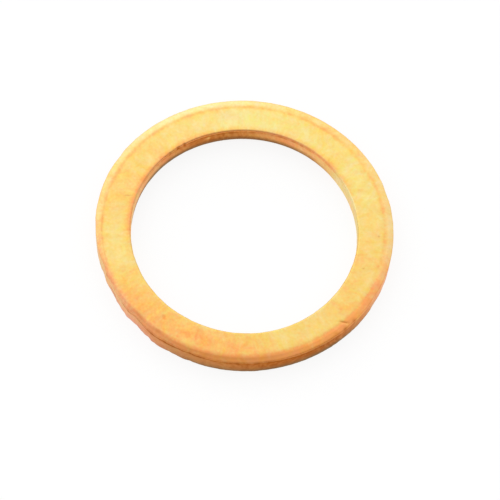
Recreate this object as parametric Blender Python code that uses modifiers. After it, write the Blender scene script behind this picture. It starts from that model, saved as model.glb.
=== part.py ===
# Copper crush washer for a drain plug: one strip ring folded flat round its bore.
# Metres, +Z up. The origin is on the axis, in the plane that the washer lies on.
#
# The section is a flat hollow box made of one layer of copper:
#   two bends at the bore, where the strip turns through 180 degrees,
#   a flat upper face with a pressed crease near its rim,
#   a sloping shoulder and a small nose, where the upper layer turns down,
#   an open seam on the outer wall, where the two edges of the strip meet,
#   a lower layer that turns up at the foot to form that wall.

import math

import bpy

# Driving dimensions
OUTER_DIAMETER = 0.0183
BORE_DIAMETER = 0.0141
THICKNESS = 0.0015
SHEET = 0.00025
BORE_BEND_INSIDE = 0.00015
FOOT_BEND_INSIDE = 0.00007
SHOULDER_BEND_INSIDE = 0.00002
SHOULDER_SLOPE = math.radians(22)
SLOPE_WIDTH = 0.00008
LIP_LENGTH = 0.00002
SEAM_GAP = 0.00004
CREASE_WIDTH = 0.00026
CREASE_DEPTH = 0.000012

# Fineness of the facets
TURN_STEPS = 80
BEND_STEPS = 4
SHOULDER_STEPS = 2
CREASE_STEPS = 6
MERGE_DISTANCE = 0.000001
SHARP_ANGLE = math.radians(40)

COPPER_COLOUR = (0.86, 0.47, 0.17, 1.0)
COPPER_ROUGHNESS = 0.32


def arc(centre_r, centre_z, radius, start, end, steps):
    """Points round an arc, with angles counted from +r towards +z."""
    points = []
    for step in range(steps + 1):
        angle = start + (end - start) * step / steps
        points.append((centre_r + radius * math.cos(angle), centre_z + radius * math.sin(angle)))
    return points


def crease(start_r):
    """Points across the shallow rounded groove in the upper face, without its outer end."""
    points = []
    for step in range(CREASE_STEPS):
        share = step / CREASE_STEPS
        dip = CREASE_DEPTH * (1 - math.cos(math.tau * share)) / 2
        points.append((start_r + CREASE_WIDTH * share, THICKNESS - dip))
    return points


def skin_profile():
    """The outer skin of the section, from the lower edge of the seam round to its upper edge."""
    rim = OUTER_DIAMETER / 2
    bore = BORE_DIAMETER / 2
    bore_bend = BORE_BEND_INSIDE + SHEET
    foot_bend = FOOT_BEND_INSIDE + SHEET
    shoulder_bend = SHOULDER_BEND_INSIDE + SHEET
    quarter = math.pi / 2

    # From the rim inwards: the nose, the slope above it, and the bend that brings the slope level.
    slope_normal = quarter - SHOULDER_SLOPE
    nose_r = rim - shoulder_bend
    level_r = nose_r - SLOPE_WIDTH
    level_z = THICKNESS - shoulder_bend
    nose_z = level_z - SLOPE_WIDTH * math.tan(SHOULDER_SLOPE)
    lip_z = nose_z - LIP_LENGTH

    points = [(rim, lip_z - SEAM_GAP)]
    points += arc(rim - foot_bend, foot_bend, foot_bend, 0, -quarter, BEND_STEPS)
    points += arc(bore + bore_bend, bore_bend, bore_bend, -quarter, -2 * quarter, BEND_STEPS)
    points += arc(bore + bore_bend, THICKNESS - bore_bend, bore_bend, 2 * quarter, quarter, BEND_STEPS)
    points += crease(level_r - CREASE_WIDTH)
    points += arc(level_r, level_z, shoulder_bend, quarter, slope_normal, SHOULDER_STEPS)
    points += arc(nose_r, nose_z, shoulder_bend, slope_normal, 0, BEND_STEPS)
    points.append((rim, lip_z))
    return points


def clear_scene():
    for obj in list(bpy.data.objects):
        bpy.data.objects.remove(obj, do_unlink=True)


def copper_material():
    material = bpy.data.materials.new("copper")
    material.use_nodes = True
    shader = material.node_tree.nodes["Principled BSDF"]
    shader.inputs["Base Color"].default_value = COPPER_COLOUR
    shader.inputs["Metallic"].default_value = 1.0
    shader.inputs["Roughness"].default_value = COPPER_ROUGHNESS
    return material


def profile_object(name, points, collection):
    """A chain of edges in the XZ plane, at +X of the axis."""
    vertices = [(r, 0.0, z) for r, z in points]
    edges = [(index, index + 1) for index in range(len(points) - 1)]
    mesh = bpy.data.meshes.new(name)
    mesh.from_pydata(vertices, edges, [])
    obj = bpy.data.objects.new(name, mesh)
    collection.objects.link(obj)
    return obj


def turn(obj):
    screw = obj.modifiers.new("turn round the axis", "SCREW")
    screw.axis = "Z"
    screw.angle = math.tau
    screw.steps = TURN_STEPS
    screw.render_steps = TURN_STEPS
    screw.use_merge_vertices = True
    screw.merge_threshold = MERGE_DISTANCE


def give_sheet(obj):
    """The strip's thickness, laid inside the skin."""
    solidify = obj.modifiers.new("strip thickness", "SOLIDIFY")
    solidify.thickness = SHEET
    solidify.offset = -1.0
    solidify.use_even_offset = True


def apply_modifiers(obj):
    evaluated = obj.evaluated_get(bpy.context.evaluated_depsgraph_get())
    mesh = bpy.data.meshes.new_from_object(evaluated)
    obj.modifiers.clear()
    obj.data = mesh


def build_washer():
    collection = bpy.data.collections.new("crush_washer")
    bpy.context.scene.collection.children.link(collection)
    washer = profile_object("crush_washer", skin_profile(), collection)
    turn(washer)
    give_sheet(washer)
    apply_modifiers(washer)
    washer.data.shade_smooth()
    washer.data.set_sharp_from_angle(angle=SHARP_ANGLE)
    washer.data.materials.append(copper_material())
    return washer


clear_scene()
build_washer()
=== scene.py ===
import math

import bmesh
import bpy
from mathutils import Matrix, Vector, noise


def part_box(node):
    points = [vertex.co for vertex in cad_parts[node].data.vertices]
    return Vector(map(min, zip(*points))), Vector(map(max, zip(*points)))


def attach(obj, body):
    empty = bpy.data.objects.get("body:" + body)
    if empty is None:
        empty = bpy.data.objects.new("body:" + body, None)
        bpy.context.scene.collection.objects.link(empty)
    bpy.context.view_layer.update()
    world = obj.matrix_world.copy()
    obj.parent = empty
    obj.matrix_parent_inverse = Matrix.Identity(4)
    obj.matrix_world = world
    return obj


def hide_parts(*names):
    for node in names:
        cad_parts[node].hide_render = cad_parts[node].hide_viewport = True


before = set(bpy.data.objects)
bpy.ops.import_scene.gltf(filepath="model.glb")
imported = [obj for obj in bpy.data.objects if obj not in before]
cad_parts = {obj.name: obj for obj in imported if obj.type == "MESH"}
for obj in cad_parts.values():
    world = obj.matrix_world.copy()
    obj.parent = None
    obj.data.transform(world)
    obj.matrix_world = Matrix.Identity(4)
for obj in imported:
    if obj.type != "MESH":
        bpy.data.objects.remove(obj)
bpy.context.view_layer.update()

mm = 0.001  # the washer is modelled in millimetres and scaled to metres at the end
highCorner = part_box("crush_washer")[1]
rimRadius = highCorner.x / mm
thickness = highCorner.z / mm


# The folded ring

washer = {
    "boreRadius": 7.05,
    "sheet": 0.25,
    "boreBend": 0.13,  # outside radius of the bend between the face and the bore
    "lowerBoreBend": 0.57,
    "footBend": 0.20,
    "shoulderRadius": 8.78,  # where the face turns down towards the rim
    "shoulderReach": 0.15,  # how far each side of it the turn is spread
    "slope": math.radians(20),
    "flatSlope": math.radians(8),  # the slope on the right, where the rim was pressed flatter
    "noseReach": 0.04,
    "seamHeight": 1.165,  # middle of the open seam in the outer wall
    "seamGap": 0.02,
    "lipReach": 0.012,
    "insideDrop": 0.03,  # how much lower the inside of the shoulder ends
    "insideBend": 0.05,
    "insideFootBend": 0.04,
    "edgeRough": 0.010,  # how far the rim and the bore's edges stray in fine waves
    "lipWander": 0.015,
    "faceWaves": 0.003,
    "faceDepth": 0.2,  # the crease and the face's waves reach no deeper rows than this
    "sectors": 15,
    "sectorSteps": 56,
    "mergeDistance": 0.0005,
    "sharpAngle": math.radians(50),
}

# Distance between the rows of vertices round each part of the section
rowSteps = {"inside": 1.0, "underside": 0.3, "walls": 0.1, "face": 0.06, "crease": 0.04}

crease = {
    "radius": 8.66,
    "halfWidth": 0.09,
    "fineRows": 0.17,  # how far each side of it the rows are closer
    "start": 0.16,  # how far inside it the face ends
    "depth": 0.012,
    "nearShare": 0.15,  # it all but fades out on the near side, where the shoulder turns down over it
    "toneWidth": 0.13,
    "shadeWidth": 0.05,
    "tone": 0.36,
    "toneSpread": 0.6,  # how much the tone varies along it
}

# How each line strays from a true circle: waves round the ring, size in mm, bearing of a crest.
# The sizes and bearings were fitted to the ring's outlines in the photo.
strays = {
    "rim": [(0, 0.019, 0), (1, 0.089, 73), (2, 0.046, -3), (3, 0.046, 36), (4, 0.026, -14),
            (5, 0.007, -34)],
    "crease": [(1, 0.061, 149), (2, 0.120, 19)],
    "bore": [(0, -0.035, 0), (1, 0.108, 273), (2, 0.018, 26), (3, 0.007, 44), (5, 0.011, -3)],
}

# Marks of use: bearing, radius, height, half length round the ring, half length across it,
# slant, press, tone and grime. Lengths are in mm, and slant is how far it runs round for each mm outwards.
marks = [
    (-40.7, 8.83, 1.48, 0.055, 0.19, 0.90, 0.035, 0.0, 0.75),  # nick in the shoulder
    (-40.6, 8.99, 1.44, 0.160, 0.08, 0.00, 0.000, -0.4, 0.00),
    (-42.3, 9.12, 1.33, 0.130, 0.08, 0.00, 0.020, 0.3, 0.50),
    (-37.4, 9.12, 1.36, 0.130, 0.10, 0.00, 0.020, 0.3, 0.45),
    (-46.5, 9.08, 1.38, 0.150, 0.08, 0.00, 0.015, 0.2, 0.25),
    (228.5, 8.79, 1.48, 0.460, 0.19, 0.00, 0.020, 0.3, 0.36),  # flattened shoulder
    (239.5, 8.84, 1.48, 0.400, 0.11, 0.00, 0.010, 0.3, 0.26),
    (237.0, 7.85, 1.50, 0.130, 0.13, 0.50, 0.014, 0.8, 0.18),  # pit
    (254.0, 8.03, 1.50, 0.100, 0.26, 0.20, 0.004, 0.6, 0.03),
    (169.3, 7.52, 1.50, 0.035, 0.20, 0.35, 0.008, 0.2, 0.30),  # scratch across the face
    (197.3, 7.68, 1.50, 0.250, 0.04, 0.00, 0.003, 0.4, 0.10),
    (128.4, 7.06, 1.42, 0.080, 0.12, 0.00, 0.035, 0.3, 0.70),  # notches in the bore's edge
    (132.3, 7.06, 1.42, 0.100, 0.12, 0.00, 0.035, 0.3, 0.65),
    (137.6, 7.06, 1.42, 0.080, 0.09, 0.00, 0.025, 0.3, 0.45),
    (75.5, 7.06, 1.40, 0.300, 0.05, 0.00, 0.006, 0.2, 0.45),
    (68.7, 7.06, 1.40, 0.200, 0.05, 0.00, 0.006, 0.2, 0.45),
    (64.0, 7.06, 1.39, 0.240, 0.05, 0.00, 0.006, 0.2, 0.50),
    (59.5, 7.05, 1.35, 0.160, 0.06, 0.00, 0.006, 0.2, 0.35),
    (114.7, 7.05, 1.12, 0.130, 0.12, 0.00, 0.000, -0.5, -0.6),  # bright spot in the bore
    (2.5, 8.29, 1.50, 0.050, 0.05, 0.00, 0.010, 0.1, 0.45),  # specks on the face
    (-14.6, 7.77, 1.50, 0.045, 0.06, 0.00, 0.010, 0.1, 0.40),
    (206.9, 9.12, 1.20, 0.100, 0.14, 0.00, 0.020, 0.9, 0.60),  # dents in the outer wall
    (213.5, 9.14, 0.50, 0.400, 0.20, 0.00, 0.010, 0.2, 0.45),
    (336.0, 8.80, 1.49, 0.700, 0.07, 0.00, 0.000, 0.6, 0.03),  # warm line along the shoulder
    (34.5, 8.45, 1.50, 0.160, 0.16, 0.00, 0.000, 0.55, 0.03),  # patches of uneven finish on the face
    (26.6, 7.75, 1.50, 0.130, 0.26, 0.00, 0.000, 0.50, 0.03),
    (21.4, 7.88, 1.50, 0.120, 0.18, 0.00, 0.000, -0.60, 0.00),
    (78.0, 8.45, 1.50, 0.150, 0.20, 0.00, 0.000, 0.40, 0.00),
    (94.0, 7.70, 1.50, 0.140, 0.15, 0.00, 0.000, -0.45, 0.00),
    (107.5, 8.47, 1.50, 0.200, 0.13, 0.00, 0.000, 0.50, 0.00),
    (115.5, 7.55, 1.50, 0.150, 0.22, 0.00, 0.000, 0.40, 0.00),
    (139.2, 7.83, 1.50, 0.130, 0.18, 0.00, 0.000, -0.40, 0.00),
    (271.5, 8.22, 1.50, 0.500, 0.22, 0.00, 0.000, 0.25, 0.00),
    (279.6, 8.17, 1.50, 0.060, 0.28, 0.00, 0.000, 0.10, 0.07),
]

markLimits = {
    "along": 1.2,  # a mark does nothing farther away than this, round the ring
    "across": 1.0,
    "boreRadius": 7.2,  # inside this radius a mark is pressed outwards, and elsewhere down
}

# Patches round the ring: bearing, half width in degrees, strength
patches = {
    # shape, in mm
    "lumps": [(239.5, 4.5, 0.075), (228.5, 3.0, -0.060), (223.5, 2.0, 0.035), (212, 3.5, -0.045),
              (202.5, 3.0, -0.045), (254, 1.5, -0.035), (337, 3.0, -0.030), (179, 4.0, 0.030),
              (154, 2.5, -0.035), (22, 3.0, -0.035)],
    "seamDip": [(222, 13, 0.03)],
    "seamRise": [(275, 26, 0.11)],
    # shape, as a share
    "shutSeam": [(335, 48, 1), (206, 27, 1)],
    "roughEdge": [(226, 26, 1.6)],
    # tone, with painted light and shade
    "shadedFace": [(230, 24, 0.60), (255, 14, 0.24), (272, 18, 0.42)],
    "litFace": [(90, 42, 0.90), (22, 22, 0.45), (198, 18, 0.50), (296, 14, 0.30)],
    "sideGlow": [(170, 20, 0.50)],
    "leftGlow": [(184, 13, 0.80)],
    "litRim": [(118, 42, 0.95), (18, 30, 0.50), (208, 16, -0.50)],
    "litWall": [(204, 18, 0.85), (187, 12, 0.40)],
    "creaseTone": [(206, 11, 0.45), (167, 12, -0.20)],
    "boreGlint": [(184, 29, 0.85), (20, 26, 2.55), (98, 30, 0.30)],
    # painted shade, brown
    "boreShade": [(111, 30, 0.79)],
    "wallShade": [(297, 38, 0.88), (340, 12, -0.32), (206, 30, -0.18)],
    "seamShade": [(227, 10, 0.55)],
    "shoulderShade": [(261, 20, 0.22), (208, 18, 0.08), (237, 6, 0.06)],
    "creaseShade": [(185, 18, 0.12)],
    # painted shade, greyer: the shaded floor seen in the lowest parts
    "boreGreyShade": [(147, 15, 0.45)],
    "wallGreyShade": [(252, 19, 0.33)],
    "footGreyShade": [(312, 17, 0.90), (284, 26, 0.90), (258, 12, 0.15), (338, 10, 0.25)],
    # pink
    "pinkBore": [(50, 28, 0.28), (165, 30, 0.28)],
    "pinkWall": [(228, 17, 1.00), (190, 22, 0.30)],
    "pinkShoulder": [(216, 22, 0.25)],
    "pinkFace": [(60, 32, -0.10)],
}

# Sides of the ring: bearing of the middle, and the cosines from it at which the side begins and is full
sides = {
    "near": (275, 0.2, 0.7),
    "nearEdge": (275, 0.3, 0.7),
    "nearShoulder": (275, 0.6, 0.85),
    "nearSeam": (277, 0.64, 0.88),
    "nearRim": (284, 0.26, 0.67),
    "notPink": (290, 0.55, 0.90),
    "flatShoulder": (345, 0.45, 0.85),
    "far": (95, -0.1, 0.35),
    "farEdge": (95, 0.1, 0.6),
    "farBore": (95, 0.3, 0.8),
    "shadedBore": (118, 0.15, 0.7),
    "shadedEdge": (118, 0.45, 0.85),
}

# Zones across the section: where each begins and where it is full, in mm
zones = {
    # by radius, out towards the rim
    "outsideBore": (7.1, 7.3),
    "yellowFace": (7.2, 7.4),
    "shadedFace": (7.3, 8.3),
    "pinkShoulder": (8.45, 8.65),
    "pinkRim": (8.5, 8.95),
    "rim": (8.58, 8.86),
    "lips": (8.7, 9.0),
    "shoulder": (8.75, 8.95),
    "lumps": (8.9, 9.1),
    "shadedWall": (8.9, 9.05),
    "wall": (9.0, 9.1),
    "roughRim": (9.0, 9.12),
    "outerSkin": (9.05, 9.12),
    # by radius, in towards the bore
    "boreSlope": (7.6, 7.2),
    "farGlow": (7.5, 7.12),
    "sideGlow": (7.4, 7.1),
    "boreWall": (7.3, 7.12),
    "pinkBore": (7.25, 7.12),
    "roughBore": (7.12, 7.06),
    # by depth under the face
    "upperHalf": (1, 0.5),
    "boreBend": (0.2, 0.12),
    "underEdge": (0.06, 0.14),
    "underSlope": (0.1, 0.22),
    "underNose": (0.20, 0.30),
    # by height, down towards the foot
    "belowSeam": (1.2, 1.05),
    "boreGreyShade": (1.25, 0.55),
    "lowBore": (1.0, 0.42),
    "boreFoot": (0.95, 0.4),
}


def roundCorner(bm, vert, reach, steps):
    bmesh.ops.bevel(bm, geom=[vert], offset=reach, offset_type="OFFSET", segments=steps,
                    profile=0.5, affect="VERTICES", material=-1)


def spinRound(bm, angle, steps, closed):
    bmesh.ops.spin(bm, geom=bm.verts[:] + bm.edges[:], cent=(0, 0, 0), axis=(0, 0, 1), dvec=(0, 0, 0),
                   angle=angle, steps=steps, use_merge=closed)


def closeSurface(bm, mergeDistance):
    bmesh.ops.remove_doubles(bm, verts=bm.verts, dist=mergeDistance)
    bmesh.ops.recalc_face_normals(bm, faces=bm.faces)


def addObject(name, bm):
    mesh = bpy.data.meshes.new(name)
    bm.to_mesh(mesh)
    bm.free()
    mesh.shade_smooth()
    obj = bpy.data.objects.new(name, mesh)
    bpy.context.scene.collection.objects.link(obj)
    return obj


def noseHeight():
    return thickness - (rimRadius - washer["shoulderRadius"]) * math.tan(washer["slope"])


def sectionCorners():
    # radius, height, reach of the rounding and steps in it,
    # from the lower lip round the skin and back inside
    bore, sheet = washer["boreRadius"], washer["sheet"]
    shoulder, seam, gap = washer["shoulderRadius"], washer["seamHeight"], washer["seamGap"] / 2
    under, inside = thickness - sheet, rimRadius - sheet
    return [
        (rimRadius, seam - gap, washer["lipReach"], 2),
        (rimRadius, 0, washer["footBend"], 6),
        (bore, 0, washer["lowerBoreBend"], 9),
        (bore, thickness, washer["boreBend"], 8),
        (crease["radius"] - crease["start"], thickness, 0, 0),
        (shoulder, thickness, washer["shoulderReach"], 9),
        (rimRadius, noseHeight(), washer["noseReach"], 4),
        (rimRadius, seam + gap, washer["lipReach"], 2),
        (inside, seam + gap, 0, 0),
        (inside, under - washer["insideDrop"], 0, 0),
        (shoulder, under, 0, 0),
        (bore + sheet, under, washer["insideBend"], 2),
        (bore + sheet, sheet, washer["lowerBoreBend"] - sheet, 5),
        (inside, sheet, washer["insideFootBend"], 2),
        (inside, seam - gap, 0, 0),
    ]


def rowStepAt(radius, height):
    # fine rows where the marks are, coarse ones underneath and inside the fold
    skin = washer["sheet"] * 0.9
    if washer["boreRadius"] + skin < radius < rimRadius - skin and skin < height < thickness - skin:
        return rowSteps["inside"]
    if height < skin:
        return rowSteps["underside"]
    if height < thickness - 0.02 and (radius < washer["boreRadius"] + 0.1 or radius > rimRadius - 0.02):
        return rowSteps["walls"]
    return rowSteps["crease"] if abs(radius - crease["radius"]) < crease["fineRows"] else rowSteps["face"]


def drawSection(bm):
    corners = sectionCorners()
    verts = [bm.verts.new((radius, 0, height)) for radius, height, reach, steps in corners]
    for vert, following in zip(verts, verts[1:] + verts[:1]):
        bm.edges.new((vert, following))
    for vert, (radius, height, reach, steps) in zip(verts, corners):
        if reach:
            roundCorner(bm, vert, reach, steps)
    for edge in list(bm.edges):
        middle = (edge.verts[0].co + edge.verts[1].co) / 2
        cuts = round(edge.calc_length() / rowStepAt(middle.x, middle.z)) - 1
        if cuts > 0:
            bmesh.ops.subdivide_edges(bm, edges=[edge], cuts=cuts)


def turnSection(bm):
    # one sector is spun, and its copies are turned into place, which is far quicker than a full spin
    angle = math.tau / washer["sectors"]
    spinRound(bm, angle, washer["sectorSteps"], closed=False)
    sector = bm.verts[:] + bm.edges[:] + bm.faces[:]
    for number in range(1, washer["sectors"]):
        copy = bmesh.ops.duplicate(bm, geom=sector)["geom"]
        copyVerts = [item for item in copy if isinstance(item, bmesh.types.BMVert)]
        turn = Matrix.Rotation(angle * number, 3, "Z")
        bmesh.ops.rotate(bm, verts=copyVerts, cent=(0, 0, 0), matrix=turn)
    closeSurface(bm, washer["mergeDistance"])


def mix(low, high, share):
    return low + (high - low) * share


def ramp(value, begin, full):
    # smooth step from 0 at begin to 1 at full, whichever of them is larger
    share = min(1, max(0, (value - begin) / (full - begin)))
    return share * share * (3 - 2 * share)


def bell(value, width):
    return math.exp(-(value / width) ** 2)


def degreesFrom(bearing, centre):
    return (math.degrees(bearing) - centre + 180) % 360 - 180


def patchAt(name, bearing):
    return sum(strength * bell(degreesFrom(bearing, centre), width)
               for centre, width, strength in patches[name])


def sideAt(name, bearing):
    centre, begin, full = sides[name]
    return ramp(math.cos(bearing - math.radians(centre)), begin, full)


def zoneAt(name, place):
    return ramp(place, *zones[name])


def stray(line, bearing):
    return sum(size * math.cos(waves * (bearing - math.radians(crest)))
               for waves, size, crest in strays[line])


def strayAt(radius, bearing):
    bore = washer["boreRadius"]
    if radius < crease["radius"]:
        share = max(0, (radius - bore) / (crease["radius"] - bore))
        return mix(stray("bore", bearing), stray("crease", bearing), share)
    share = min(1, (radius - crease["radius"]) / (rimRadius - crease["radius"]))
    return mix(stray("crease", bearing), stray("rim", bearing), share)


def creaseAt(bearing):
    return mix(1, crease["nearShare"], sideAt("near", bearing))


def unevenAt(radius, height, bearing, waveLength):
    # noise from -1 to 1 that runs round the ring and along its section
    turn = radius / waveLength
    place = Vector((math.cos(bearing) * turn, math.sin(bearing) * turn, (radius - height) / waveLength))
    return noise.noise(place)


def raggedAt(radius, height, bearing):
    # how far the rim and the bore's edges stray in fine waves, most at the near left, and the rim's lumps
    rim = zoneAt("roughRim", radius) * (1 + patchAt("roughEdge", bearing))
    fine = unevenAt(radius, height, bearing, 0.22) + 1.4 * unevenAt(radius, height, bearing, 0.6)
    fine *= washer["edgeRough"] * (rim + zoneAt("roughBore", radius))
    return fine + zoneAt("lumps", radius) * patchAt("lumps", bearing)


def lipAt(radius, height, bearing):
    # the two lips of the seam wander up and down together, and in places they are pressed shut
    away = height - washer["seamHeight"]
    wander = washer["lipWander"] * unevenAt(radius, 0, bearing, 1.5) * bell(away, 0.12)
    shut = 0.85 * away * bell(away, 0.07) * min(1, patchAt("shutSeam", bearing))
    dip = patchAt("seamDip", bearing) * bell(away, 0.3)
    climb = patchAt("seamRise", bearing) * bell(away, 0.12)
    return zoneAt("lips", radius) * (wander - shut - dip + climb)


def liftAt(radius, height, bearing):
    # brings the shoulder up to its flatter slope on the right
    share = sideAt("flatShoulder", bearing) * ramp(height, washer["seamHeight"] + 0.02, noseHeight())
    rise = math.tan(washer["slope"]) - math.tan(washer["flatSlope"])
    return max(0, radius - washer["shoulderRadius"]) * rise * share


# The copper's colour, painted as four attributes, with painted light and shade among them.
# Tone runs from -2, a painted glint, through -1, pale gold, and 0, gold, to 1, bare copper.
# Brown grime with brown painted shade, and greyer painted shade, run from 0 to 1. Pink is how much blue is
# added.

def toneAt(radius, height, bearing):
    depth = thickness - height
    far = sideAt("far", bearing)
    # painted light and shade: the face is warmer on the near left and paler on the far side and in patches
    # round it
    face = patchAt("shadedFace", bearing) * mix(0.55, 1, zoneAt("shadedFace", radius))
    face -= patchAt("litFace", bearing) * zoneAt("upperHalf", depth)
    face += 0.9 * zoneAt("farGlow", radius) * sideAt("farEdge", bearing)
    face += zoneAt("sideGlow", radius) * (patchAt("sideGlow", bearing) - 0.3 * sideAt("nearEdge", bearing))
    face += zoneAt("boreSlope", radius) * patchAt("leftGlow", bearing)
    # painted light and shade: the rim is pale gold on the far side and bare copper on the near side
    rim = mix(0.22, 1.0, sideAt("nearRim", bearing)) - patchAt("litRim", bearing)
    tone = mix(face, rim, zoneAt("rim", radius))

    creaseTone = crease["tone"] + crease["toneSpread"] * unevenAt(crease["radius"], 0, bearing, 1.1)
    creaseTone += patchAt("creaseTone", bearing)
    tone = mix(tone, creaseTone, 0.9 * creaseShare(radius, depth, crease["toneWidth"]) * creaseAt(bearing))

    # painted light: the outer wall is paler on the left
    wallTone = 0.95 - patchAt("litWall", bearing)
    tone = mix(tone, wallTone, zoneAt("outerSkin", radius) * zoneAt("underSlope", depth))

    # painted reflection: the bore is paler where it catches the light, with a bright streak on the right
    boreTone = 0.9 - patchAt("boreGlint", bearing)
    boreTone = mix(boreTone, 0.95, sideAt("farBore", bearing) * zoneAt("boreBend", depth))
    # the bore's own tone begins higher up on the far side, where its edge is seen from above
    inBore = ramp(radius, mix(7.2, 7.17, far), 7.1)
    inBore *= ramp(depth, mix(0.07, -0.01, far), mix(0.16, 0.01, far))
    return mix(tone, boreTone, inBore)


def creaseShare(radius, depth, width):
    return bell(radius - crease["radius"], width) if depth < thickness / 3 else 0


def brownShadeAt(radius, height, bearing):
    # painted shade: the wall under the nose, the seam, the near shoulder, the crease and the bore's edge
    # and foot are darkened brown where shade falls and where they reflect the shaded floor
    depth = thickness - height
    onWall = zoneAt("wall", radius)
    wall = onWall * zoneAt("underNose", depth) * (0.18 + patchAt("wallShade", bearing))

    shoulder = zoneAt("shoulder", radius) * patchAt("shoulderShade", bearing)
    shoulder += 0.09 * bell(radius - 8.94, 0.05) * sideAt("nearShoulder", bearing)
    shoulder += creaseShare(radius, depth, crease["shadeWidth"]) * patchAt("creaseShade", bearing)

    seam = onWall * bell(height - washer["seamHeight"] - 0.03, 0.16)
    seam *= 1 + 0.5 * unevenAt(9, 0, bearing, 0.8)
    seam *= sideAt("nearSeam", bearing) + patchAt("seamShade", bearing)

    inBore = zoneAt("boreWall", radius)
    boreWall = inBore * zoneAt("underEdge", depth) * (0.03 + patchAt("boreShade", bearing))
    boreWall += 0.3 * inBore * bell(depth - 0.15, 0.06) * sideAt("shadedEdge", bearing)
    boreFoot = zoneAt("boreSlope", radius) * zoneAt("boreFoot", height)
    boreWall += 0.6 * boreFoot * sideAt("shadedBore", bearing)
    return max(wall, shoulder, seam, boreWall)


def greyShadeAt(radius, height, bearing):
    # painted shade: the lowest part of the wall and of the bore is greyed where it faces the shaded floor
    bore = 0.78 * zoneAt("lowBore", height) * sideAt("shadedBore", bearing)
    bore += zoneAt("boreGreyShade", height) * patchAt("boreGreyShade", bearing)
    wall = patchAt("wallGreyShade", bearing) + bell(height, 0.5) * (0.1 + patchAt("footGreyShade", bearing))
    wall *= zoneAt("shadedWall", radius) * zoneAt("belowSeam", height)
    return min(0.9, zoneAt("boreSlope", radius) * bore + wall)


def pinkAt(radius, height, bearing):
    wall = 0.35 * bell(height, 0.35) + bell(height, 0.8) * patchAt("pinkWall", bearing)
    pink = 0.26 * zoneAt("pinkRim", radius) * (1 - sideAt("notPink", bearing))
    pink += zoneAt("lips", radius) * wall
    pink += zoneAt("pinkShoulder", radius) * patchAt("pinkShoulder", bearing)
    pink += zoneAt("yellowFace", radius) * patchAt("pinkFace", bearing)
    return pink + zoneAt("pinkBore", radius) * patchAt("pinkBore", bearing)


def shapeRing(bm):
    toneLayer = bm.verts.layers.float.new("tone")
    grimeAndShadeLayer = bm.verts.layers.float.new("grimeAndShade")
    greyShadeLayer = bm.verts.layers.float.new("greyShade")
    pinkLayer = bm.verts.layers.float.new("pink")
    for vert in bm.verts:
        radius = math.hypot(vert.co.x, vert.co.y)
        bearing = math.atan2(vert.co.y, vert.co.x)
        height = vert.co.z
        outward = Vector((vert.co.x / radius, vert.co.y / radius, 0))
        tone = toneAt(radius, height, bearing)
        # painted shade, to which the marks below add their own grime
        grimeAndShade = brownShadeAt(radius, height, bearing)
        move = strayAt(radius, bearing) + raggedAt(radius, height, bearing)
        rise = liftAt(radius, height, bearing) + lipAt(radius, height, bearing)
        if height > thickness - washer["faceDepth"]:
            groove = bell(radius - crease["radius"], crease["halfWidth"]) * creaseAt(bearing)
            waves = unevenAt(radius, height, bearing, 0.9) - 1
            rise -= crease["depth"] * groove
            rise += washer["faceWaves"] * waves * zoneAt("outsideBore", radius)
        for centre, markRadius, markHeight, length, width, slant, press, markTone, markGrime in marks:
            away = math.radians(degreesFrom(bearing, centre)) * radius
            across = math.hypot(radius - markRadius, height - markHeight)
            if abs(away) > markLimits["along"] or across > markLimits["across"]:
                continue
            away -= slant * (radius - markRadius)
            share = bell(away, length) * bell(across, width)
            tone += markTone * share
            grimeAndShade += markGrime * share
            if markRadius > markLimits["boreRadius"]:
                rise -= press * share
            else:
                move += press * share
        vert[toneLayer] = max(-2, min(1, tone))
        vert[grimeAndShadeLayer] = max(0, min(1, grimeAndShade))
        vert[greyShadeLayer] = greyShadeAt(radius, height, bearing)
        vert[pinkLayer] = pinkAt(radius, height, bearing)
        vert.co += outward * move
        vert.co.z = max(0, vert.co.z + rise)


def makeWasher():
    bm = bmesh.new()
    drawSection(bm)
    turnSection(bm)
    shapeRing(bm)
    bmesh.ops.scale(bm, vec=(mm, mm, mm), verts=bm.verts)
    obj = addObject("foldedWasher", bm)
    obj.data.set_sharp_from_angle(angle=washer["sharpAngle"])
    return obj


# Materials

copper = {
    "glint": (1.0, 0.68, 0.36, 1),
    "paleGold": (0.88, 0.74, 0.29, 1),
    "gold": (0.90, 0.605, 0.175, 1),
    "copper": (0.945, 0.385, 0.112, 1),
    # the brown of the marks' grime and of the painted shade
    "brown": (0.45, 0.116, 0.005, 1),
    # painted shade: the grey of the shaded floor, laid over the lowest parts
    "greyShade": (0.205, 0.125, 0.058, 1),
    "edgeTint": (1.0, 0.84, 0.66, 1),
    "blotchSize": 0.9,  # mm
    "blotchWeight": 1.5,  # how much each pattern moves the tone
    "fibreWidth": 0.26,
    "fibreLength": 0.5,
    "fibreWeight": 0.7,
    "fibreSpan": (0.3, 0.7),  # the part of the fibre pattern that sets dullness and streaks
    "grainSize": 0.17,
    "grainWeight": 1.2,
    "castSize": 0.5,  # of the patches that are bluer or yellower
    "castStretch": 0.75,
    "castReach": (0.2, 0.12, 1.05),  # how far they move red, green and blue
    "bendSize": 1.6,  # of the waves that lean the streaks both ways
    "bendReach": 1.3,
    "meanRadius": 8,
    "streaks": (0.85, 1.15),  # how much the fibres weaken and strengthen the grime and the painted shade
    "roughness": (0.31, 0.38),
    "grimeAndShadeRoughness": 0.15,
    "bumpStrength": 0.4,
    "bumpDepth": 0.02,
}


def addNode(tree, kind, inputs=None, **settings):
    node = tree.nodes.new(kind)
    for name, value in settings.items():
        setattr(node, name, value)
    for name, value in (inputs or {}).items():
        if isinstance(value, bpy.types.NodeSocket):
            tree.links.new(value, node.inputs[name])
        else:
            node.inputs[name].default_value = value
    return node


def newMaterial(name):
    material = bpy.data.materials.new(name)
    material.use_nodes = True
    tree = material.node_tree
    return material, tree, tree.nodes["Principled BSDF"]


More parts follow.
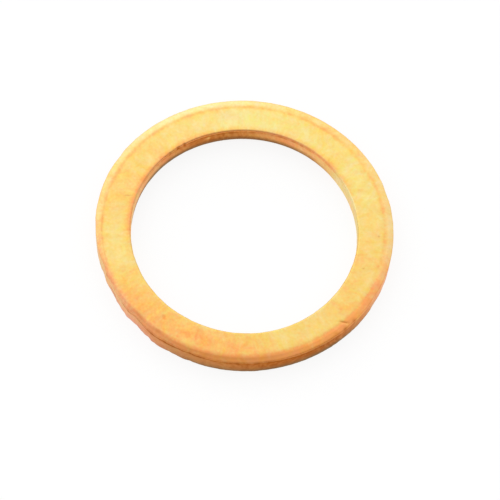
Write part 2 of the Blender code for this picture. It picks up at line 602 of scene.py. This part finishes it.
def calculate(tree, operation, *values):
    return addNode(tree, "ShaderNodeMath", dict(enumerate(values)), operation=operation).outputs[0]


def vectorMath(tree, operation, first, second):
    return addNode(tree, "ShaderNodeVectorMath", {0: first, 1: second}, operation=operation).outputs[0]


def blend(tree, share, first, second):
    # the colour sockets of a Mix node are numbered, because its hidden ones have the same names
    inputs = {0: share, 6: first, 7: second}
    return addNode(tree, "ShaderNodeMix", inputs, data_type="RGBA").outputs[2]


def remap(tree, value, source, target):
    inputs = {"Value": value, "From Min": source[0], "From Max": source[1],
              "To Min": target[0], "To Max": target[1]}
    return addNode(tree, "ShaderNodeMapRange", inputs).outputs[0]


def combine(tree, x, y, z):
    return addNode(tree, "ShaderNodeCombineXYZ", {"X": x, "Y": y, "Z": z}).outputs[0]


def attribute(tree, name):
    return addNode(tree, "ShaderNodeAttribute", attribute_name=name).outputs["Fac"]


def scaled(tree, place, scale):
    return addNode(tree, "ShaderNodeMapping", {"Vector": place, "Scale": scale}).outputs[0]


def noiseNode(tree, place, size, detail, roughness):
    inputs = {"Vector": place, "Scale": 1 / size, "Detail": detail, "Roughness": roughness}
    return addNode(tree, "ShaderNodeTexNoise", inputs)


def noiseField(tree, place, size, detail=2, roughness=0.5):
    return noiseNode(tree, place, size, detail, roughness).outputs[0]


def noiseShift(tree, place, size, reach, detail, roughness=0.5):
    # three fields that swing about zero
    waves = noiseNode(tree, place, size, detail, roughness).outputs["Color"]
    return vectorMath(tree, "MULTIPLY", vectorMath(tree, "SUBTRACT", waves, (0.5, 0.5, 0.5)), reach)


def alongSection(tree, place):
    # a place round the ring and along its section, so that the streaks run across the ring without a join
    flat = vectorMath(tree, "MULTIPLY", place, (1, 1, 0))
    radius = addNode(tree, "ShaderNodeVectorMath", {0: flat}, operation="LENGTH").outputs["Value"]
    unit = addNode(tree, "ShaderNodeVectorMath", {0: flat}, operation="NORMALIZE").outputs[0]
    height = addNode(tree, "ShaderNodeSeparateXYZ", {0: place}).outputs["Z"]
    along = combine(tree, 0, 0, calculate(tree, "SUBTRACT", radius, height))
    reach = copper["meanRadius"]
    return vectorMath(tree, "ADD", vectorMath(tree, "MULTIPLY", unit, (reach, reach, 0)), along)


def bentPlace(tree, place):
    reach = (copper["bendReach"],) * 3
    return vectorMath(tree, "ADD", place, noiseShift(tree, place, copper["bendSize"], reach, 1))


def cleanCopper(tree, castPlace, fibres, grain):
    # the painted tone, made uneven by three patterns, then tinted bluer and yellower
    tone = attribute(tree, "tone")
    blotches = noiseField(tree, castPlace, copper["blotchSize"], 3, 0.6)
    for pattern, weight in ((blotches, "blotchWeight"), (fibres, "fibreWeight"), (grain, "grainWeight")):
        swing = calculate(tree, "SUBTRACT", pattern, 0.5)
        tone = calculate(tree, "MULTIPLY_ADD", swing, copper[weight], tone)
    tones = addNode(tree, "ShaderNodeValToRGB", {"Fac": remap(tree, tone, (-2, 1), (0, 1))})
    stops = tones.color_ramp.elements
    stops[0].color = copper["glint"]
    stops[-1].color = copper["copper"]
    for stop, name in ((0.18, "paleGold"), (1 / 3, "paleGold"), (2 / 3, "gold")):
        stops.new(stop).color = copper[name]
    cast = noiseShift(tree, castPlace, copper["castSize"], copper["castReach"], 3, 0.6)
    pink = combine(tree, 1, 1, calculate(tree, "ADD", attribute(tree, "pink"), 1))
    return vectorMath(tree, "MULTIPLY", tones.outputs[0], vectorMath(tree, "ADD", cast, pink))


def copperMaterial():
    material, tree, shader = newMaterial("copper")
    place = addNode(tree, "ShaderNodeTexCoord").outputs["Object"]
    place = scaled(tree, place, (1 / mm, 1 / mm, 1 / mm))
    ringPlace = bentPlace(tree, alongSection(tree, place))
    fibrePlace = scaled(tree, ringPlace, (1, 1, copper["fibreWidth"] / copper["fibreLength"]))
    castPlace = scaled(tree, ringPlace, (1, 1, copper["castStretch"]))
    fibres = noiseField(tree, fibrePlace, copper["fibreWidth"])
    grain = noiseField(tree, place, copper["grainSize"], 2, 0.6)

    streaks = remap(tree, fibres, copper["fibreSpan"], copper["streaks"])
    # the marks' grime and the painted shade, both brown, streaked along the fibres
    grimeAndShade = calculate(tree, "MULTIPLY", attribute(tree, "grimeAndShade"), streaks)
    colour = blend(tree, grimeAndShade, cleanCopper(tree, castPlace, fibres, grain), copper["brown"])
    # painted shade: the lowest parts are greyed towards the shaded floor's colour
    colour = blend(tree, attribute(tree, "greyShade"), colour, copper["greyShade"])
    tree.links.new(colour, shader.inputs["Base Color"])

    shader.inputs["Metallic"].default_value = 1
    shader.inputs["Specular Tint"].default_value = copper["edgeTint"]
    dull = remap(tree, fibres, copper["fibreSpan"], copper["roughness"])
    dull = calculate(tree, "MULTIPLY_ADD", grimeAndShade, copper["grimeAndShadeRoughness"], dull)
    tree.links.new(dull, shader.inputs["Roughness"])
    relief = calculate(tree, "MULTIPLY_ADD", fibres, 0.6, calculate(tree, "MULTIPLY", grain, 0.4))
    bump = addNode(tree, "ShaderNodeBump", {"Height": relief, "Strength": copper["bumpStrength"],
                                            "Distance": copper["bumpDepth"] * mm})
    tree.links.new(bump.outputs[0], shader.inputs["Normal"])
    return material


# Floor, light and camera

stage = {
    "radius": 0.40,
    "coveHeight": 0.08,
    "coveReach": 0.06,
    "coveSteps": 8,
    "turnSteps": 96,
    "mergeDistance": 0.00001,
    "colour": (0.90, 0.90, 0.90, 1),
    "roughness": 0.9,
    "litShare": 0.18,  # how much of the floor's look is its own lit colour, which holds the shadow
    "white": 1.06,  # the even white that makes up the rest
}


def floorMaterial():
    material, tree, shader = newMaterial("floor")
    shader.inputs["Base Color"].default_value = stage["colour"]
    shader.inputs["Roughness"].default_value = stage["roughness"]
    shader.inputs["Specular IOR Level"].default_value = 0
    path = addNode(tree, "ShaderNodeLightPath").outputs
    seen = calculate(tree, "MAXIMUM", path["Is Camera Ray"], path["Is Glossy Ray"])
    seen = calculate(tree, "MAXIMUM", seen, path["Is Transmission Ray"])
    share = calculate(tree, "MULTIPLY", seen, 1 - stage["litShare"])
    white = addNode(tree, "ShaderNodeEmission", {"Color": (1, 1, 1, 1), "Strength": stage["white"]})
    mixed = addNode(tree, "ShaderNodeMixShader", {0: share, 1: shader.outputs[0], 2: white.outputs[0]})
    tree.links.new(mixed.outputs[0], tree.nodes["Material Output"].inputs["Surface"])
    return material


def makeFloor():
    bm = bmesh.new()
    centre = bm.verts.new((0, 0, 0))
    foot = bm.verts.new((stage["radius"], 0, 0))
    top = bm.verts.new((stage["radius"], 0, stage["coveHeight"]))
    bm.edges.new((centre, foot))
    bm.edges.new((foot, top))
    roundCorner(bm, foot, stage["coveReach"], stage["coveSteps"])
    spinRound(bm, math.tau, stage["turnSteps"], closed=True)
    closeSurface(bm, stage["mergeDistance"])
    floor = addObject("floor", bm)
    floor.data.materials.append(floorMaterial())


light = {
    "bearing": math.radians(118),  # the studio's bright side, behind and to the left
    "dim": 0.27,
    "bright": 1.47,
}


def makeLight():
    world = bpy.data.worlds.new("studio")
    bpy.context.scene.world = world
    world.use_nodes = True
    tree = world.node_tree
    direction = addNode(tree, "ShaderNodeTexCoord").outputs["Generated"]
    brightSide = (math.cos(light["bearing"]), math.sin(light["bearing"]), 0)
    towards = addNode(tree, "ShaderNodeVectorMath", {0: direction, 1: brightSide}, operation="DOT_PRODUCT")
    level = remap(tree, towards.outputs["Value"], (-1, 1), (light["dim"], light["bright"]))
    background = tree.nodes["Background"]
    background.inputs["Color"].default_value = (1, 1, 1, 1)
    tree.links.new(level, background.inputs["Strength"])


view = {
    "elevation": math.radians(63.25),
    "roll": math.radians(5.97),
    "distance": 16 * rimRadius * mm,
    "focalPixels": 2352.6,
    "imagePixels": 500,
    "sensorWidth": 36,
    "clipStart": 0.005,
    "aim": Vector((0.0514, -0.0807, 0)) * rimRadius * mm,  # the point at the middle of the picture
}


def makeCamera():
    back = Vector((0, -math.cos(view["elevation"]), math.sin(view["elevation"])))
    right = Vector((1, 0, 0))
    up = back.cross(right)
    turned = right * math.cos(view["roll"]) + up * math.sin(view["roll"])
    upright = up * math.cos(view["roll"]) - right * math.sin(view["roll"])
    data = bpy.data.cameras.new("camera")
    data.sensor_width = view["sensorWidth"]
    data.lens = view["focalPixels"] / view["imagePixels"] * data.sensor_width
    data.clip_start = view["clipStart"]
    camera = bpy.data.objects.new("camera", data)
    stand = Matrix.Translation(view["aim"] + back * view["distance"])
    camera.matrix_world = stand @ Matrix((turned, upright, back)).transposed().to_4x4()
    bpy.context.scene.collection.objects.link(camera)
    bpy.context.scene.camera = camera


foldedWasher = makeWasher()
foldedWasher.data.materials.append(copperMaterial())
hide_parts("crush_washer")
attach(foldedWasher, "root")
print("washer made:", len(foldedWasher.data.polygons), "faces")

makeFloor()
makeLight()
makeCamera()
bpy.context.scene.view_settings.view_transform = "Standard"
print("floor, light and camera set")
